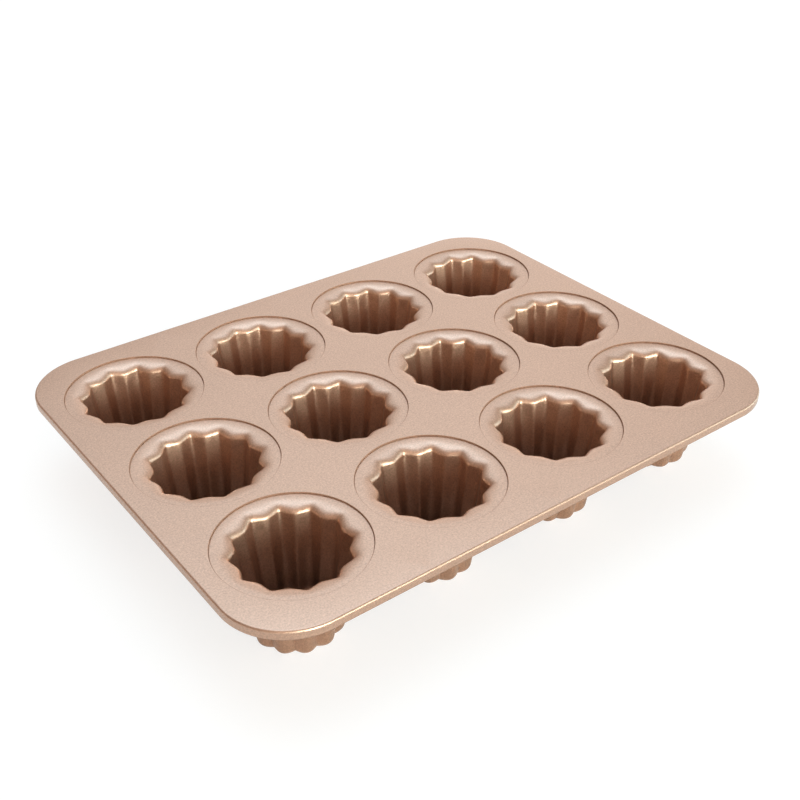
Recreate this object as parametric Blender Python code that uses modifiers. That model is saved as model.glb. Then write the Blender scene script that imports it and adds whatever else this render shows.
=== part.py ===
"""Fluted cake pan: a sheet-metal tray with twelve deep fluted cups seated in it.

Metres, +Z up. The origin is on the surface the pan stands on, under the middle of the tray.
+X runs along the long side, from cup to cup in a row, and +Y points to the back row.
"""

import math

import bmesh
import bpy

# Sheet metal
TRAY_SHEET = 0.0008
CUP_SHEET = 0.0008

# Inside surface of a cup
FLUTES = 12
PAN_HEIGHT = 0.0525
MOUTH_RADIUS = 0.0302
MOUTH_FLUTE_DEPTH = 0.0027
MOUTH_RIB_SHARPNESS = 0.9
WALL_LEAN = 0.0064
FLOOR_FLUTE_DEPTH = 0.0027
FLOOR_RIB_SHARPNESS = 1.5
LIP_RADIUS = 0.0048
FLOOR_CORNER_RADIUS = 0.0052

# Flange of a cup and its seat in the tray
FLANGE_FLAT_WIDTH = 0.0038
FLANGE_STEP_DOWN = 0.0008
SEAT_CLEARANCE = 0.0003
SEAT_LEDGE_WIDTH = 0.0037

# Tray around the seats
CUPS_PER_ROW = 4
ROWS = ("front", "middle", "back")
LAND_BETWEEN_CUPS = 0.0058
LAND_AT_SIDES = 0.0107
LAND_AT_FRONT_AND_BACK = 0.0159
TRAY_CORNER_RADIUS = 0.0370
RIM_DROP = 0.0055
HEM_THICKNESS = 0.0018
RIM_BEND_RADIUS = 0.0017

# Angle from +X to one groove of each cup, in degrees, left to right along each row
CUP_TURNS = {
    "front": (10.0, 20.5, 21.0, 8.5),
    "middle": (18.0, 24.5, 7.0, 13.5),
    "back": (2.5, 1.0, 0.0, 17.5),
}

# Facets
POINTS_PER_FLUTE = 4
QUARTER_STEPS = 2
SEAT_SEGMENTS = 36
LEDGE_SEGMENTS = 24
TRAY_CORNER_SEGMENTS = 7
RIM_BEND_SEGMENTS = 3
HEM_SEGMENTS = 2

# Sizes that follow
LIP_OUTER_RADIUS = MOUTH_RADIUS + LIP_RADIUS
FLANGE_RADIUS = LIP_OUTER_RADIUS + FLANGE_FLAT_WIDTH
SEAT_RADIUS = FLANGE_RADIUS + SEAT_CLEARANCE
LEDGE_RADIUS = SEAT_RADIUS - SEAT_LEDGE_WIDTH
BOSS_RADIUS = SEAT_RADIUS + TRAY_SHEET
CUP_PITCH = 2 * SEAT_RADIUS + LAND_BETWEEN_CUPS
TRAY_LENGTH = (CUPS_PER_ROW - 1) * CUP_PITCH + 2 * (SEAT_RADIUS + LAND_AT_SIDES)
TRAY_WIDTH = (len(ROWS) - 1) * CUP_PITCH + 2 * (SEAT_RADIUS + LAND_AT_FRONT_AND_BACK)
FLANGE_TOP = PAN_HEIGHT - FLANGE_STEP_DOWN
LEDGE_TOP = FLANGE_TOP - CUP_SHEET - SEAT_CLEARANCE
LEDGE_BOTTOM = LEDGE_TOP - TRAY_SHEET
RIM_BOTTOM = PAN_HEIGHT - RIM_DROP
HEM_FOLD_RADIUS = HEM_THICKNESS / 2
WALL_BOTTOM_RADIUS = MOUTH_RADIUS - WALL_LEAN
FLOOR_TOP = CUP_SHEET
CUT_MARGIN = 0.0020
SMOOTH_ANGLE = math.radians(50)


def clear_scene():
    """Remove every object that the file opened with."""
    for old in list(bpy.data.objects):
        bpy.data.objects.remove(old, do_unlink=True)


def new_collection(name):
    collection = bpy.data.collections.new(name)
    bpy.context.scene.collection.children.link(collection)
    return collection


def coated_metal(name, color):
    """Champagne metallic non-stick coating with a satin shine."""
    material = bpy.data.materials.new(name)
    material.use_nodes = True
    shader = material.node_tree.nodes["Principled BSDF"]
    shader.inputs["Base Color"].default_value = (*color, 1.0)
    shader.inputs["Metallic"].default_value = 0.75
    shader.inputs["Roughness"].default_value = 0.38
    material.diffuse_color = (*color, 1.0)
    return material


def add_object(name, mesh, collection):
    made = bpy.data.objects.new(name, mesh)
    collection.objects.link(made)
    return made


def cup_places():
    """Yield each cup's name, x, y and turn in radians, row by row from the front."""
    for row, row_name in enumerate(ROWS):
        turns = CUP_TURNS[row_name]
        y = (row - (len(ROWS) - 1) / 2) * CUP_PITCH
        for column in range(CUPS_PER_ROW):
            x = (column - (CUPS_PER_ROW - 1) / 2) * CUP_PITCH
            turn = math.radians(turns[column % len(turns)])
            yield f"cup_{row_name}_{column + 1}", x, y, turn


def rounded_box(name, length, width, corner, bottom, top, collection):
    """A box whose four upright edges are rounded by a Bevel, which reads their bevel weight.

    The corners of its top and bottom faces are in two vertex groups, for rounding those edges later.
    """
    mesh = bpy.data.meshes.new(name)
    bm = bmesh.new()
    bmesh.ops.create_cube(bm, size=1.0)
    bmesh.ops.scale(bm, vec=(length, width, top - bottom), verts=bm.verts)
    bmesh.ops.translate(bm, vec=(0, 0, (top + bottom) / 2), verts=bm.verts)
    weight = bm.edges.layers.float.new("bevel_weight_edge")
    for edge in bm.edges:
        low, high = (vert.co for vert in edge.verts)
        if abs(low.z - high.z) > (top - bottom) / 2:
            edge[weight] = 1.0
    bm.to_mesh(mesh)
    bm.free()
    box = add_object(name, mesh, collection)
    for group_name, level in (("top", top), ("bottom", bottom)):
        group = box.vertex_groups.new(name=group_name)
        group.add([vert.index for vert in mesh.vertices if abs(vert.co.z - level) < 1e-6], 1.0, "REPLACE")
    bevel = box.modifiers.new("round_corners", "BEVEL")
    bevel.limit_method = "WEIGHT"
    bevel.width = corner
    bevel.segments = TRAY_CORNER_SEGMENTS
    return box


def round_edges(box, name, group_name, radius, segments):
    """Round the edges of a rounded box's top or bottom face."""
    bevel = box.modifiers.new(name, "BEVEL")
    bevel.limit_method = "VGROUP"
    bevel.vertex_group = group_name
    bevel.width = radius
    bevel.segments = segments


def discs_at_cups(name, radius, segments, bottom, top, collection):
    """One upright disc at each cup. The radius is that of the circle inside the polygon."""
    mesh = bpy.data.meshes.new(name)
    bm = bmesh.new()
    corner_radius = radius / math.cos(math.pi / segments)
    for _, x, y, _ in cup_places():
        disc = bmesh.ops.create_cone(
            bm, cap_ends=True, segments=segments,
            radius1=corner_radius, radius2=corner_radius, depth=top - bottom)
        bmesh.ops.translate(bm, vec=(x, y, (top + bottom) / 2), verts=disc["verts"])
    bm.to_mesh(mesh)
    bm.free()
    return add_object(name, mesh, collection)


def join_or_cut(target, operation, tool):
    """Add one EXACT Boolean to the target, and mark the tool as a guide."""
    boolean = target.modifiers.new(tool.name, "BOOLEAN")
    boolean.operation = operation
    boolean.solver = "EXACT"
    boolean.object = tool
    tool.hide_render = True
    tool.display_type = "WIRE"


def make_tray(parts, tools):
    """Pressed sheet with a turned-down hem and a stepped seat for each cup."""
    tray = rounded_box("tray", TRAY_LENGTH, TRAY_WIDTH, TRAY_CORNER_RADIUS,
                       RIM_BOTTOM, PAN_HEIGHT, parts)
    round_edges(tray, "rim_bend", "top", RIM_BEND_RADIUS, RIM_BEND_SEGMENTS)
    round_edges(tray, "hem_fold", "bottom", HEM_FOLD_RADIUS, HEM_SEGMENTS)

    hollow = rounded_box("under_tray", TRAY_LENGTH - 2 * HEM_THICKNESS, TRAY_WIDTH - 2 * HEM_THICKNESS,
                         TRAY_CORNER_RADIUS - HEM_THICKNESS,
                         RIM_BOTTOM - CUT_MARGIN, PAN_HEIGHT - TRAY_SHEET, tools)
    round_edges(hollow, "inner_bend", "top", RIM_BEND_RADIUS - TRAY_SHEET, HEM_SEGMENTS)
    join_or_cut(tray, "DIFFERENCE", hollow)
    bosses = discs_at_cups("seat_bosses", BOSS_RADIUS, SEAT_SEGMENTS,
                           LEDGE_BOTTOM, PAN_HEIGHT - TRAY_SHEET / 2, tools)
    join_or_cut(tray, "UNION", bosses)
    seats = discs_at_cups("seat_recesses", SEAT_RADIUS, SEAT_SEGMENTS,
                          LEDGE_TOP, PAN_HEIGHT + CUT_MARGIN, tools)
    join_or_cut(tray, "DIFFERENCE", seats)
    holes = discs_at_cups("seat_holes", LEDGE_RADIUS, LEDGE_SEGMENTS,
                          LEDGE_BOTTOM - CUT_MARGIN, PAN_HEIGHT, tools)
    join_or_cut(tray, "DIFFERENCE", holes)

    tray.data.materials.append(coated_metal("tray_coating", (0.62, 0.45, 0.36)))


def fluted_ring(lobe_radius, flute_depth, rib_sharpness, z):
    """Points round a fluted section, with a groove at +X.

    The radius is lobe_radius in the grooves and flute_depth less on the ribs, and follows
    (1 - cos(flutes * angle)) / 2 raised to rib_sharpness in between.
    """
    count = FLUTES * POINTS_PER_FLUTE
    ring = []
    for step in range(count):
        angle = 2 * math.pi * step / count
        rib = (0.5 - 0.5 * math.cos(FLUTES * angle)) ** rib_sharpness
        radius = lobe_radius - flute_depth * rib
        ring.append((radius * math.cos(angle), radius * math.sin(angle), z))
    return ring


def cup_rings():
    """Sections of a cup's inside: the flange's edge, a quarter circle over the lip, where the flutes
    grow in, and a quarter circle from the foot of the straight wall to the floor."""
    rings = [fluted_ring(FLANGE_RADIUS, 0, 1, FLANGE_TOP)]
    quarter = [math.radians(90) * step / QUARTER_STEPS for step in range(QUARTER_STEPS + 1)]
    for angle in quarter:
        rings.append(fluted_ring(
            LIP_OUTER_RADIUS - LIP_RADIUS * math.sin(angle),
            MOUTH_FLUTE_DEPTH * math.sin(angle), MOUTH_RIB_SHARPNESS,
            FLANGE_TOP - LIP_RADIUS * (1 - math.cos(angle))))
    for angle in quarter:
        rings.append(fluted_ring(
            WALL_BOTTOM_RADIUS - FLOOR_CORNER_RADIUS * (1 - math.cos(angle)),
            FLOOR_FLUTE_DEPTH, FLOOR_RIB_SHARPNESS,
            FLOOR_TOP + FLOOR_CORNER_RADIUS * (1 - math.sin(angle))))
    return rings


def cup_mesh():
    """Inside surface of a cup: a loft from the round flange to the fluted floor, facing up and in."""
    mesh = bpy.data.meshes.new("cup_surface")
    bm = bmesh.new()
    loops = [[bm.verts.new(point) for point in ring] for ring in cup_rings()]
    for outer, inner in zip(loops, loops[1:]):
        for step in range(len(outer)):
            ahead = (step + 1) % len(outer)
            bm.faces.new((outer[step], outer[ahead], inner[ahead], inner[step]))
    bm.faces.new(loops[-1])
    bm.to_mesh(mesh)
    bm.free()
    mesh.shade_smooth()
    mesh.set_sharp_from_angle(angle=SMOOTH_ANGLE)
    mesh.materials.append(coated_metal("cup_coating", (0.58, 0.41, 0.32)))
    return mesh


def make_cups(parts):
    """Set the twelve cups in their seats, each turned its own way, with the wall outside the surface."""
    surface = cup_mesh()
    for name, x, y, turn in cup_places():
        cup = add_object(name, surface, parts)
        cup.location = (x, y, 0)
        cup.rotation_euler = (0, 0, turn)
        wall = cup.modifiers.new("sheet", "SOLIDIFY")
        wall.thickness = CUP_SHEET
        wall.offset = -1
        wall.solidify_mode = "NON_MANIFOLD"
        wall.nonmanifold_thickness_mode = "CONSTRAINTS"


def main():
    clear_scene()
    parts = new_collection("fluted_cake_pan")
    tools = new_collection("cutters")
    make_tray(parts, tools)
    make_cups(parts)


main()
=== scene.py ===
"""Looks of the fluted cake pan: a pressed tray with a hemmed edge and twelve deep-drawn fluted cups.

Metres, +Z up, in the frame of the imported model: the cups stand on the floor at height 0.
"""

import math

import bpy
import numpy as np
from mathutils import Matrix


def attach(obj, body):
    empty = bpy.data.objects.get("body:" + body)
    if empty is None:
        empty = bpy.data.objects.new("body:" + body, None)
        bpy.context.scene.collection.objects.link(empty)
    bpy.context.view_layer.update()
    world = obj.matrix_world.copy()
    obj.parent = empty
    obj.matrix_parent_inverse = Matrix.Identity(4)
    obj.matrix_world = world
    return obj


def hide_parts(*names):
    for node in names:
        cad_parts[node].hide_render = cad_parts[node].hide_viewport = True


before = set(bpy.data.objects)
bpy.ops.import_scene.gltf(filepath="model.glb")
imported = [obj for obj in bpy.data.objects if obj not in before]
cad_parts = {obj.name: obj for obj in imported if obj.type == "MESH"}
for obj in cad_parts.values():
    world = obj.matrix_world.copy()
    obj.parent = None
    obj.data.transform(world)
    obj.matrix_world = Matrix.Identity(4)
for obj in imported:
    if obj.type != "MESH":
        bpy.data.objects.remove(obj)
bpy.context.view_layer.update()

# Sheet metal
SHEET = 0.0008
RAW_EDGE_ROUND = 0.00015

# Places of the cups
CUP_PITCH = 0.0840
CUPS_PER_ROW = 4
ROWS = ("front", "middle", "back")

# Angle from +X to one groove of each cup, in degrees, left to right along each row
CUP_TURNS = {
    "front": (10.0, 20.5, 21.0, 8.5),
    "middle": (18.0, 24.5, 7.0, 13.5),
    "back": (2.5, 1.0, 0.0, 17.5),
}

# Flange and lip of a cup
FLANGE_TOP = 0.0517
FLANGE_RADIUS = 0.0392
FLANGE_MIDDLE_RADIUS = 0.0385
FLANGE_EDGE_ROUND = 0.00015
LIP_OUTER_RADIUS = 0.0374
LIP_LENGTH = 0.0093
LIP_TURN_POWER = 1.8

# Wall and foot of a cup
WALL_DRAW_IN = 0.0062
WALL_HEIGHT = 0.0422
WALL_LEAN = math.atan2(WALL_DRAW_IN, WALL_HEIGHT)
FOOT_ROUND = 0.0060

# Rings on a cup's floor: share of its radius, and share of its flute depth
FLOOR_RINGS = np.array([[0.94, 0.85], [0.82, 0.6], [0.6, 0.3], [0.3, 0.1], [0.1, 0.02]])

# Flutes
FLUTES = 12
FLUTE_DEPTH = 0.0027
FLOOR_FLUTE_DEPTH = 0.0016

# How widely a flute turns over in its groove and on its rib: shares of the way down the wall, and the
# width there as a share of the flute
GROOVE_ROUND = ((0.0, 0.5, 1.0), (0.045, 0.05, 0.25))
RIB_ROUND = ((0.0, 0.12, 1.0), (0.24, 0.06, 0.055))

# Seats in the tray
SEAT_RADIUS = 0.0393
SEAT_EDGE_ROUND = 0.0002
SEAT_FOOT_ROUND = 0.0002
LEDGE_TOP = 0.0506
LEDGE_RADIUS = 0.0354
BOSS_RADIUS = 0.0401
BOSS_ROUND = 0.0006

# Tray outline and hem
TRAY_TOP = 0.0525
TRAY_LENGTH = 0.3516
TRAY_WIDTH = 0.2780
TRAY_CORNER_RADIUS = 0.0370
RIM_BEND_RADIUS = 0.0013
RIM_BOTTOM = 0.0470
HEM_THICKNESS = 0.0018
HEM_LEAF_TOP = 0.0504

# Distance from a bend to the next ring on the flat beside it, which keeps the flat's shading level
SEAT_EDGE_MARGINS = (0.0012, 0.0004, 0.0001)
BOSS_INNER_MARGIN = 0.0003
BOSS_OUTER_MARGIN = 0.0002
BAND_MARGIN = 0.0003

# Fineness of the grids: a running sum takes so many fine steps for each step of its grid
STEPS_PER_CELL_SIDE = 32
STEPS_PER_FLUTE = 28
FINE_STEPS_OF_FLUTE = 40
LIP_STEPS = 24
FINE_STEPS_OF_LIP = 20
WALL_STEPS = 14
FOOT_STEPS = 12

# Least angle of a fold that shows sharp, in degrees, and decimals of a metre to which meeting points agree
SHARP_ANGLE = 60
MEETING_DECIMALS = 7

# Painted light and shade inside a cup: the coating's color is scaled, at the share d of the way down, by
# 1 + rise * d - fall * d * d, but no less than the wall's least, and by the floor's own painted shade below
# the share where the floor starts: painted light high on the wall, painted shade deep down where shade
# falls
PAINTED_LIGHT_RISE = 1.3
PAINTED_SHADE_FALL = 2.35
LEAST_WALL_PAINTED_SHADE = 0.4
FLOOR_PAINTED_SHADE = 0.58
FLOOR_STARTS = 0.98

# Painted shade in the step round each seat and on each flange's edge, a dark line where the crevice between
# cup and tray is shaded, and how far past the seat's edge it reaches
STEP_PAINTED_SHADE = 0.85
STEP_REACH = 0.00005

# Coating: its two grains, its noises per metre, and how much each noise changes color and roughness
LIGHT_GRAIN = (0.74, 0.465, 0.335, 1)
DARK_GRAIN = (0.40, 0.25, 0.18, 1)
GRAIN_SCALE = 1050.0
CLOUD_SCALE = 22.0
GRAIN_IN_COLOR = 1.9
CLOUD_IN_COLOR = 0.15
PLAIN_ROUGHNESS = 0.42
GRAIN_IN_ROUGHNESS = 0.15
CLOUD_IN_ROUGHNESS = 0.06
THIN_IN_ROUGHNESS = 0.45

# Floor: its color under the light and to the camera, and the glow that makes it white to the camera
FLOOR_REACH = 8
FLOOR_DROP = 0.0001
FLOOR_COLOR = (0.81, 0.765, 0.735, 1)
FLOOR_COLOR_TO_CAMERA = (0.3, 0.3, 0.3, 1)
FLOOR_GLOW_TO_CAMERA = 0.75
FLOOR_GLOW_IN_METAL = 0.03

# Studio light: radiance from all round, and azimuth, elevation, narrowness and radiance of each side
ROOM_LIGHT = (0.43, 0.335, 0.265)
SIDE_LIGHTS = (
    (270, 0, 24, (24.6, 28.0, 25.5)),
    (330, 0, 12, (2.7, 3.75, 3.8)),
    (45, 0, 12, (1.2, 1.18, 1.12)),
    (235, 45, 12, (0.6, 0.45, 0.36)),
    (60, 60, 12, (0.97, 1.28, 1.47)),
    (60, 75, 12, (1.08, 1.56, 1.9)),
)

# Camera: angles in degrees, the point on the tray that it faces, and its lens in pixels of the image
CAMERA_TURN = -36.968
CAMERA_TILT = 32.849
CAMERA_ROLL = -0.035
CAMERA_AIM = (-0.01011, -0.01526, TRAY_TOP)
CAMERA_DISTANCE = 0.63676
LENS_PIXELS = 1122.88
IMAGE_WIDTH = 800
SENSOR_WIDTH = 36.0


def cup_place(row, column):
    """Middle of a cup, as x and y."""
    return (column - (CUPS_PER_ROW - 1) / 2) * CUP_PITCH, (row - (len(ROWS) - 1) / 2) * CUP_PITCH


def arc(center, radius, start, end, steps):
    """Points on a circle round the center, from the start angle to the end angle in degrees."""
    angle = np.radians(np.linspace(start, end, steps + 1))
    return np.stack([center[0] + radius * np.cos(angle), center[1] + radius * np.sin(angle)], axis=1)


def ring_quads(rings, columns, first=0):
    """Faces between neighbouring closed rings of points, as four corner numbers each."""
    ring, column = np.meshgrid(np.arange(rings - 1), np.arange(columns), indexing="ij")
    here = first + ring * columns
    ahead = (column + 1) % columns
    return np.stack([here + column, here + columns + column, here + columns + ahead, here + ahead],
                    axis=2).reshape(-1, 4)


def piece_from_grid(name, vertices, faces, material):
    """Put arrays of vertices and faces into a smooth mesh object at the origin, with sharp folds kept."""
    mesh = bpy.data.meshes.new(name)
    mesh.from_pydata(vertices.tolist(), [], faces)
    mesh.shade_smooth()
    mesh.set_sharp_from_angle(angle=math.radians(SHARP_ANGLE))
    mesh.materials.append(material)
    made = bpy.data.objects.new(name, mesh)
    bpy.context.scene.collection.objects.link(made)
    return made


def set_coating(piece, painted_shading, thin):
    """Store at each vertex the painted light and shade that scales the coating's color, 1 for plain, and
    how thin the coating is, 0 to 1.
    """
    piece.data.attributes.new("painted_shading", "FLOAT", "POINT").data.foreach_set("value", painted_shading)
    piece.data.attributes.new("thin", "FLOAT", "POINT").data.foreach_set("value", thin)


def flute_wave(groove_round, rib_round):
    """Height of the ribs over one flute, 0 in the groove and 1 on the rib, one row for each ring.

    The slope is the same all over a flat side and turns over smoothly in the groove and on the rib:
    it follows tanh(distance to the groove / groove round) times tanh(distance to the rib / rib round),
    and the height is the running sum of the slope.
    """
    half = FINE_STEPS_OF_FLUTE * (STEPS_PER_FLUTE // 2)
    fine = np.linspace(0.0, 0.5, half + 1)[None, :]
    slope = np.tanh(fine / groove_round[:, None]) * np.tanh((0.5 - fine) / rib_round[:, None])
    height = np.cumsum(np.pad((slope[:, 1:] + slope[:, :-1]) / 2, ((0, 0), (1, 0))), axis=1)
    height = height[:, ::FINE_STEPS_OF_FLUTE] / height[:, -1:]
    return np.concatenate([height, height[:, -2:0:-1]], axis=1)


def cup_profile():
    """Inside surface of a cup from the flange to the floor: lobe radius, height, flute depth and wave.

    Flange: level. Lip: its slope turns down from level to the lean of the wall as a power of the share
    of the way along it, and the flutes grow as the sine squared of a quarter turn times that share.
    Wall: straight. Foot: a circular arc that turns in to the level floor, while the flutes lose depth
    as the square of the share of the way round it.
    """
    flange = np.stack([
        np.array([FLANGE_RADIUS - FLANGE_EDGE_ROUND, FLANGE_MIDDLE_RADIUS, LIP_OUTER_RADIUS]),
        np.full(3, FLANGE_TOP)], axis=1)
    fine_steps = LIP_STEPS * FINE_STEPS_OF_LIP
    middle = (np.arange(fine_steps) + 0.5) / fine_steps
    slope = (math.pi / 2 - WALL_LEAN) * middle ** LIP_TURN_POWER
    step = LIP_LENGTH / fine_steps * np.stack([-np.cos(slope), -np.sin(slope)], axis=1)
    lip = np.cumsum(step, axis=0)[FINE_STEPS_OF_LIP - 1::FINE_STEPS_OF_LIP] + [LIP_OUTER_RADIUS, FLANGE_TOP]
    foot_height = SHEET + FOOT_ROUND * (1 - math.sin(WALL_LEAN))
    foot_start = lip[-1, 0] - (lip[-1, 1] - foot_height) * math.tan(WALL_LEAN)
    foot_center = (foot_start - FOOT_ROUND * math.cos(WALL_LEAN), SHEET + FOOT_ROUND)
    foot = arc(foot_center, FOOT_ROUND, -math.degrees(WALL_LEAN), -90, FOOT_STEPS)
    wall_share = np.linspace(0, 1, WALL_STEPS + 1)[1:-1, None]
    wall = lip[-1] + (foot[0] - lip[-1]) * wall_share
    floor = np.stack([foot_center[0] * FLOOR_RINGS[:, 0], np.full(len(FLOOR_RINGS), SHEET)], axis=1)

    lip_share = np.linspace(0, 1, LIP_STEPS + 1)[1:]
    foot_share = np.linspace(0, 1, FOOT_STEPS + 1)
    depth = np.concatenate([
        np.zeros(len(flange)),
        FLUTE_DEPTH * np.sin(math.pi / 2 * lip_share) ** 2,
        np.full(len(wall), FLUTE_DEPTH),
        FLUTE_DEPTH + (FLOOR_FLUTE_DEPTH - FLUTE_DEPTH) * foot_share ** 2,
        FLOOR_FLUTE_DEPTH * FLOOR_RINGS[:, 1]])
    down_wall = np.concatenate([
        np.zeros(len(flange) + len(lip)), wall_share[:, 0], np.ones(len(foot) + len(floor))])
    wave = flute_wave(np.interp(down_wall, *GROOVE_ROUND), np.interp(down_wall, *RIB_ROUND))
    points = np.concatenate([flange, lip, wall, foot, floor])
    return points[:, 0], points[:, 1], depth, wave


def make_cup(name, x, y, turn, material):
    """A deep-drawn cup with a round flange.

    Inside: radius = lobe radius - flute depth * wave. Outside: the inside moved back by the sheet's
    thickness along its normals. The flange's edge is a half round, and both floors close in a point.
    The coating is plain outside, thin and darkened with painted shade on the flange's edge, and inside it
    carries painted light high on the wall and painted shade deep down and on the floor.
    """
    lobe, height, depth, wave = cup_profile()
    columns = FLUTES * STEPS_PER_FLUTE
    angle = 2 * math.pi * np.arange(columns) / columns + turn
    radius = lobe[:, None] - depth[:, None] * np.tile(wave, FLUTES)
    inside = np.stack([
        x + radius * np.cos(angle), y + radius * np.sin(angle),
        np.broadcast_to(height[:, None], radius.shape)], axis=2)
    along = np.gradient(inside, axis=0)
    around = np.roll(inside, -1, axis=1) - np.roll(inside, 1, axis=1)
    normal = np.cross(along, around)
    normal /= np.linalg.norm(normal, axis=2, keepdims=True)
    normal *= np.sign(normal[0, 0, 2])
    outside = inside - SHEET * normal

    # The flange's first ring inside is the start of this quarter circle, which therefore begins at 70
    edge = arc((FLANGE_RADIUS - FLANGE_EDGE_ROUND, FLANGE_TOP - FLANGE_EDGE_ROUND),
               FLANGE_EDGE_ROUND, 70, 0, 3)
    edge = np.concatenate([edge, edge[::-1] * [1, -1] + [0, 2 * FLANGE_TOP - SHEET]])
    edge_rings = np.stack([
        x + edge[:, :1] * np.cos(angle), y + edge[:, :1] * np.sin(angle),
        np.broadcast_to(edge[:, 1:], (len(edge), columns))], axis=2)

    rings = np.concatenate([inside[::-1], edge_rings, outside])
    vertices = np.concatenate([rings.reshape(-1, 3), [[x, y, SHEET], [x, y, 0.0]]])
    here = np.arange(columns)
    ahead = (here + 1) % columns
    last = (len(rings) - 1) * columns
    floor = np.full(columns, len(vertices) - 2)
    underside = np.full(columns, len(vertices) - 1)
    faces = ring_quads(len(rings), columns).tolist()
    faces += np.stack([floor, here, ahead], axis=1).tolist()
    faces += np.stack([underside, last + ahead, last + here], axis=1).tolist()
    cup = piece_from_grid(name, vertices, faces, material)

    # Painted light high on the wall, painted shade deep down, on the floor and on the flange's edge
    down = 1 - height[::-1] / FLANGE_TOP
    wall_painted_shading = np.maximum(1 + PAINTED_LIGHT_RISE * down - PAINTED_SHADE_FALL * down ** 2, LEAST_WALL_PAINTED_SHADE)
    painted_shading = np.concatenate([
        np.where(down < FLOOR_STARTS, wall_painted_shading, FLOOR_PAINTED_SHADE), np.full(len(edge), STEP_PAINTED_SHADE),
        np.ones(len(height))])
    thin = np.concatenate([np.zeros(len(height)), np.ones(len(edge)), np.zeros(len(height))])
    set_coating(
        cup, np.append(np.repeat(painted_shading, columns), [FLOOR_PAINTED_SHADE, 1]),
        np.append(np.repeat(thin, columns), [0, 0]))
    return cup


def side_path(start, end, corner_at_start, corner_at_end, corner):
    """Points from start to end along one side of a cell, as complex numbers, with the end left out.

    A side that meets one of the tray's corners gives half of its points to its eighth of the circle.
    """
    ahead = (end - start) / abs(end - start)
    inward = 1j * ahead
    half = STEPS_PER_CELL_SIDE // 2
    swing = np.radians(np.linspace(45, 90, half + 1))
    share = np.arange(half) / half
    if corner_at_start:
        center = start + corner * (ahead + inward)
        bend = center - corner * (np.cos(swing) * ahead + np.sin(swing) * inward)
        return np.concatenate([bend[:-1], bend[-1] + (end - bend[-1]) * share])
    if corner_at_end:
        center = end + corner * (inward - ahead)
        bend = (center + corner * (np.cos(swing) * ahead - np.sin(swing) * inward))[::-1]
        return np.concatenate([start + (bend[0] - start) * share, bend[:-1]])
    return start + (end - start) * np.arange(STEPS_PER_CELL_SIDE) / STEPS_PER_CELL_SIDE


def cell_sides(row, column, inset):
    """The four sides of the part of the tray round one cup: front, right, back and left."""
    last_row = len(ROWS) - 1
    last_column = CUPS_PER_ROW - 1
    half_x = TRAY_LENGTH / 2 - inset
    half_y = TRAY_WIDTH / 2 - inset
    corner = TRAY_CORNER_RADIUS - inset
    x0 = -half_x if column == 0 else (column - CUPS_PER_ROW / 2) * CUP_PITCH
    x1 = half_x if column == last_column else (column + 1 - CUPS_PER_ROW / 2) * CUP_PITCH
    y0 = -half_y if row == 0 else (row - len(ROWS) / 2) * CUP_PITCH
    y1 = half_y if row == last_row else (row + 1 - len(ROWS) / 2) * CUP_PITCH
    corners = (complex(x0, y0), complex(x1, y0), complex(x1, y1), complex(x0, y1))
    rounded = (
        row == 0 and column == 0, row == 0 and column == last_column,
        row == last_row and column == last_column, row == last_row and column == 0)
    return [
        side_path(corners[side], corners[(side + 1) % 4], rounded[side], rounded[(side + 1) % 4], corner)
        for side in range(4)]


def tray_outline(inset):
    """The tray's outline moved in by inset, as complex numbers, from the front left corner round."""
    front = [cell_sides(0, column, inset)[0] for column in range(CUPS_PER_ROW)]
    right = [cell_sides(row, CUPS_PER_ROW - 1, inset)[1] for row in range(len(ROWS))]
    back = [cell_sides(len(ROWS) - 1, column, inset)[2] for column in reversed(range(CUPS_PER_ROW))]
    left = [cell_sides(row, 0, inset)[3] for row in reversed(range(len(ROWS)))]
    return np.concatenate(front + right + back + left)


def seat_profile():
    """Radius and height round a seat, from the tray's top down to the ledge and back under the tray."""
    under = TRAY_TOP - SHEET
    ledge_bottom = LEDGE_TOP - SHEET
    edge = SEAT_RADIUS + SEAT_EDGE_ROUND
    return np.concatenate([
        [[edge + margin, TRAY_TOP] for margin in SEAT_EDGE_MARGINS],
        arc((edge, TRAY_TOP - SEAT_EDGE_ROUND), SEAT_EDGE_ROUND, 90, 180, 6),
        arc((SEAT_RADIUS - SEAT_FOOT_ROUND, LEDGE_TOP + SEAT_FOOT_ROUND), SEAT_FOOT_ROUND, 0, -90, 3),
        [[LEDGE_RADIUS + RAW_EDGE_ROUND, LEDGE_TOP]],
        [[LEDGE_RADIUS, LEDGE_TOP - RAW_EDGE_ROUND], [LEDGE_RADIUS, ledge_bottom + RAW_EDGE_ROUND]],
        [[LEDGE_RADIUS + RAW_EDGE_ROUND, ledge_bottom]],
        [[BOSS_RADIUS - BOSS_ROUND - BOSS_INNER_MARGIN, ledge_bottom]],
        arc((BOSS_RADIUS - BOSS_ROUND, ledge_bottom + BOSS_ROUND), BOSS_ROUND, -90, 0, 5),
        arc((BOSS_RADIUS + BOSS_ROUND, under - BOSS_ROUND), BOSS_ROUND, 180, 90, 5),
        [[BOSS_RADIUS + BOSS_ROUND + BOSS_OUTER_MARGIN, under]]])


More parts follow.
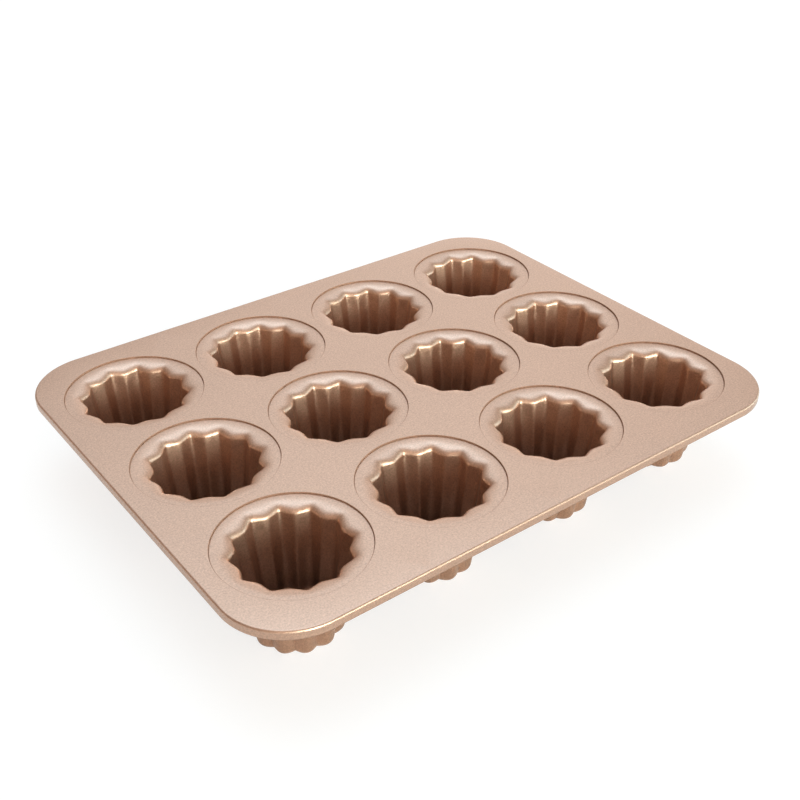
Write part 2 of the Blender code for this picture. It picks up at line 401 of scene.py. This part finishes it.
def rim_profile():
    """Inset and height round the tray's edge.

    It runs from the top over the bend, down the band, round the folded hem, up the hem's inner leaf to
    its raw edge, and up to the tray's underside.
    """
    level = TRAY_TOP - RIM_BEND_RADIUS
    fold = HEM_THICKNESS / 2
    bend = arc((-RIM_BEND_RADIUS, level), RIM_BEND_RADIUS, 90, 0, 8)
    band = np.array([[0.0, level - BAND_MARGIN], [0.0, RIM_BOTTOM + fold + BAND_MARGIN]])
    hem = arc((-fold, RIM_BOTTOM + fold), fold, 0, -180, 12)
    leaf = np.array([
        [-HEM_THICKNESS, RIM_BOTTOM + fold + BAND_MARGIN],
        [-HEM_THICKNESS, HEM_LEAF_TOP - RAW_EDGE_ROUND],
        [-HEM_THICKNESS + RAW_EDGE_ROUND, HEM_LEAF_TOP],
        [-SHEET, HEM_LEAF_TOP]])
    inner_bend = arc((-RIM_BEND_RADIUS, level), RIM_BEND_RADIUS - SHEET, 0, 90, 6)
    profile = np.concatenate([bend, band, hem, leaf, inner_bend])
    return -profile[:, 0], profile[:, 1]


def make_tray(name, material):
    """The pressed tray: a grid round each seat, out to the cell's sides, and the rim carried round.

    Each cell joins its outer path to circles round the cup, with the same directions from the cup's
    middle, on top and underneath. Points that meet are then made one. The coating is thin in the step
    of each seat, as far as the seat's edge, and darkened there with painted shade; it is plain elsewhere.
    """
    vertices = []
    faces = []
    count = 0
    seat = seat_profile()
    columns = 4 * STEPS_PER_CELL_SIDE
    for row in range(len(ROWS)):
        for column in range(CUPS_PER_ROW):
            middle = complex(*cup_place(row, column))
            path = np.concatenate(cell_sides(row, column, RIM_BEND_RADIUS))
            toward = (path - middle) / abs(path - middle)
            circles = middle + seat[:, :1] * toward
            plan = np.concatenate([path[None], circles, path[None]])
            height = np.concatenate([[TRAY_TOP], seat[:, 1], [TRAY_TOP - SHEET]])
            grid = np.stack([
                plan.real, plan.imag, np.broadcast_to(height[:, None], plan.shape)], axis=2)
            vertices.append(grid.reshape(-1, 3))
            faces.append(ring_quads(len(plan), columns, count)[:, ::-1])
            count += plan.size
    inset, height = rim_profile()
    plan = np.stack([tray_outline(step) for step in inset])
    grid = np.stack([plan.real, plan.imag, np.broadcast_to(height[:, None], plan.shape)], axis=2)
    vertices.append(grid.reshape(-1, 3))
    faces.append(ring_quads(len(plan), plan.shape[1], count))
    vertices = np.concatenate(vertices)
    faces = np.concatenate(faces)
    _, first, same = np.unique(
        np.round(vertices, MEETING_DECIMALS), axis=0, return_index=True, return_inverse=True)
    vertices = vertices[first]
    tray = piece_from_grid(name, vertices, same.reshape(-1)[faces].tolist(), material)

    # Distance of each vertex from the middle of its own cup
    last = np.array([CUPS_PER_ROW - 1, len(ROWS) - 1])
    cell = np.clip(np.round(vertices[:, :2] / CUP_PITCH + last / 2), 0, last)
    distance = np.linalg.norm(vertices[:, :2] - (cell - last / 2) * CUP_PITCH, axis=1)
    # Painted shade in each seat's step, where the crevice round the cup is shaded; the coating is thin
    # there too
    in_step = distance < SEAT_RADIUS + SEAT_EDGE_ROUND + STEP_REACH
    set_coating(tray, np.where(in_step, STEP_PAINTED_SHADE, 1.0), np.where(in_step, 1.0, 0.0))
    return tray


class Wire:
    """One output of a finish's nodes. Arithmetic on it adds Math nodes."""

    def __init__(self, finish, socket):
        self.finish = finish
        self.socket = socket

    def math(self, operation, first, second):
        return self.finish.node("ShaderNodeMath", {"operation": operation}, {0: first, 1: second})

    def __add__(self, other):
        return self.math("ADD", self, other)

    __radd__ = __add__

    def __mul__(self, other):
        return self.math("MULTIPLY", self, other)

    __rmul__ = __mul__

    def __sub__(self, other):
        return self.math("SUBTRACT", self, other)

    def __rsub__(self, other):
        return self.math("SUBTRACT", other, self)


class Finish:
    """Helpers for the nodes of a new material or world."""

    def __init__(self, block):
        block.use_nodes = True
        self.block = block
        self.tree = block.node_tree

    def fill(self, sockets, values):
        """Link each wire to its socket, and set the others to their value."""
        for key, value in values.items():
            if isinstance(value, Wire):
                self.tree.links.new(value.socket, sockets[key])
            else:
                sockets[key].default_value = value

    def node(self, kind, settings, values, output=0):
        """Add a node, its settings first and then its sockets, and give one of its outputs."""
        made = self.tree.nodes.new(kind)
        for key, value in settings.items():
            setattr(made, key, value)
        self.fill(made.inputs, values)
        return Wire(self, made.outputs[output])

    def noise(self, where, scale, detail, roughness):
        return self.node("ShaderNodeTexNoise", {}, {
            "Vector": where, "Scale": scale, "Detail": detail, "Roughness": roughness})

    def mix(self, factor, first, second):
        """Mix two colors, whose sockets come after those for numbers and vectors."""
        return self.node("ShaderNodeMix", {"data_type": "RGBA"}, {0: factor, 6: first, 7: second}, 2)


def coating(name):
    """Champagne metallic coating: fine speckle of light and dark grains, soft clouds in color and shine.

    Color: the two grains mixed in equal parts, shifted by a fine and a coarse noise, times the painted
    light and shade stored on the piece. Roughness: a plain value, shifted by both noises, and higher
    where the piece says that the coating is thin. Its clear top is missing there too.
    """
    finish = Finish(bpy.data.materials.new(name))
    where = finish.node("ShaderNodeTexCoord", {}, {}, "Object")
    grain = finish.noise(where, GRAIN_SCALE, 3.0, 0.8)
    cloud = finish.noise(where, CLOUD_SCALE, 2.0, 0.5)
    share = (grain - 0.5) * GRAIN_IN_COLOR + (cloud - 0.5) * CLOUD_IN_COLOR + 0.5
    # Painted light and shade, stored at each vertex of the piece, scales the color
    painted_shading = finish.node("ShaderNodeAttribute", {"attribute_name": "painted_shading"}, {}, "Fac")
    color = finish.node("ShaderNodeVectorMath", {"operation": "SCALE"}, {
        0: finish.mix(share, DARK_GRAIN, LIGHT_GRAIN), "Scale": painted_shading})
    thin = finish.node("ShaderNodeAttribute", {"attribute_name": "thin"}, {}, "Fac")
    rough = (
        PLAIN_ROUGHNESS + (grain - 0.5) * GRAIN_IN_ROUGHNESS + (cloud - 0.5) * CLOUD_IN_ROUGHNESS
        + thin * THIN_IN_ROUGHNESS)
    bump = finish.node("ShaderNodeBump", {}, {"Strength": 0.35, "Distance": 0.0003, "Height": grain})
    finish.fill(finish.tree.nodes["Principled BSDF"].inputs, {
        "Base Color": color, "Roughness": rough, "Metallic": 1.0, "Normal": bump,
        "Coat Weight": 1.0 - thin, "Coat IOR": 1.62, "Coat Roughness": 0.26})
    return finish.block


def make_floor():
    """A large level floor, white to the camera and in reflections, that keeps the pan's shadow."""
    finish = Finish(bpy.data.materials.new("white_floor"))
    path = finish.tree.nodes.new("ShaderNodeLightPath").outputs
    camera = Wire(finish, path["Is Camera Ray"])
    mirrored = Wire(finish, path["Is Glossy Ray"]) + Wire(finish, path["Is Transmission Ray"])
    paint = finish.node("ShaderNodeBsdfDiffuse", {}, {
        "Color": finish.mix(camera, FLOOR_COLOR, FLOOR_COLOR_TO_CAMERA)})
    glow = finish.node("ShaderNodeEmission", {}, {
        "Color": (1, 1, 1, 1), "Strength": camera * FLOOR_GLOW_TO_CAMERA + mirrored * FLOOR_GLOW_IN_METAL})
    both = finish.node("ShaderNodeAddShader", {}, {0: paint, 1: glow})
    finish.fill(finish.tree.nodes["Material Output"].inputs, {"Surface": both})
    mesh = bpy.data.meshes.new("floor")
    corners = [
        (x * FLOOR_REACH, y * FLOOR_REACH, -FLOOR_DROP) for x, y in ((-1, -1), (1, -1), (1, 1), (-1, 1))]
    mesh.from_pydata(corners, [], [(0, 1, 2, 3)])
    mesh.materials.append(finish.block)
    floor = bpy.data.objects.new("floor", mesh)
    bpy.context.scene.collection.objects.link(floor)


def light_from(azimuth, elevation):
    """Unit vector toward a side of the room, in degrees from +X toward +Y and up from the floor."""
    turn, tilt = math.radians(azimuth), math.radians(elevation)
    return (math.cos(turn) * math.cos(tilt), math.sin(turn) * math.cos(tilt), math.sin(tilt))


def make_studio_light():
    """Soft light from all round, stronger from some sides.

    Its radiance is the room's, and for each side the side's own times exp(narrowness * (cosine of the
    angle to that side - 1)).
    """
    world = bpy.data.worlds.new("studio")
    finish = Finish(world)
    where = finish.node("ShaderNodeTexCoord", {}, {}, "Generated")
    total = ROOM_LIGHT
    for azimuth, elevation, narrowness, color in SIDE_LIGHTS:
        cosine = finish.node("ShaderNodeVectorMath", {"operation": "DOT_PRODUCT"}, {
            0: where, 1: light_from(azimuth, elevation)}, "Value")
        lobe = finish.node("ShaderNodeMath", {"operation": "EXPONENT"}, {0: (cosine - 1.0) * narrowness})
        tinted = finish.node("ShaderNodeVectorMath", {"operation": "SCALE"}, {0: color, "Scale": lobe})
        total = finish.node("ShaderNodeVectorMath", {"operation": "ADD"}, {0: total, 1: tinted})
    finish.fill(finish.tree.nodes["Background"].inputs, {"Color": total})
    bpy.context.scene.world = world


def make_camera():
    """The camera stands at the near left corner, about 33 degrees above the tray, and faces its middle."""
    turn, tilt, roll = (math.radians(angle) for angle in (CAMERA_TURN, CAMERA_TILT, CAMERA_ROLL))
    back = np.array([math.sin(turn) * math.cos(tilt), -math.cos(turn) * math.cos(tilt), math.sin(tilt)])
    level_right = np.cross(-back, [0, 0, 1])
    level_right /= np.linalg.norm(level_right)
    level_up = np.cross(level_right, -back)
    right = math.cos(roll) * level_right + math.sin(roll) * level_up
    up = math.cos(roll) * level_up - math.sin(roll) * level_right
    place = np.array(CAMERA_AIM) + back * CAMERA_DISTANCE
    data = bpy.data.cameras.new("camera")
    data.sensor_width = SENSOR_WIDTH
    data.lens = SENSOR_WIDTH * LENS_PIXELS / IMAGE_WIDTH
    camera = bpy.data.objects.new("camera", data)
    rows = np.vstack([np.stack([right, up, back, place], axis=1), [0, 0, 0, 1]])
    camera.matrix_world = Matrix(rows.tolist())
    bpy.context.scene.collection.objects.link(camera)
    bpy.context.scene.camera = camera


tray_finish = coating("tray_coating_speckled")
cup_finish = coating("cup_coating_speckled")

tray = make_tray("tray_pressed_sheet", tray_finish)
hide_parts("tray")
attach(tray, "root")

for row, row_name in enumerate(ROWS):
    for column in range(CUPS_PER_ROW):
        node = f"cup_{row_name}_{column + 1}"
        turn = math.radians(CUP_TURNS[row_name][column])
        cup = make_cup(f"{node}_drawn", *cup_place(row, column), turn, cup_finish)
        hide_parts(node)
        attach(cup, "root")

make_floor()
make_studio_light()
make_camera()
bpy.context.scene.view_settings.view_transform = "Standard"
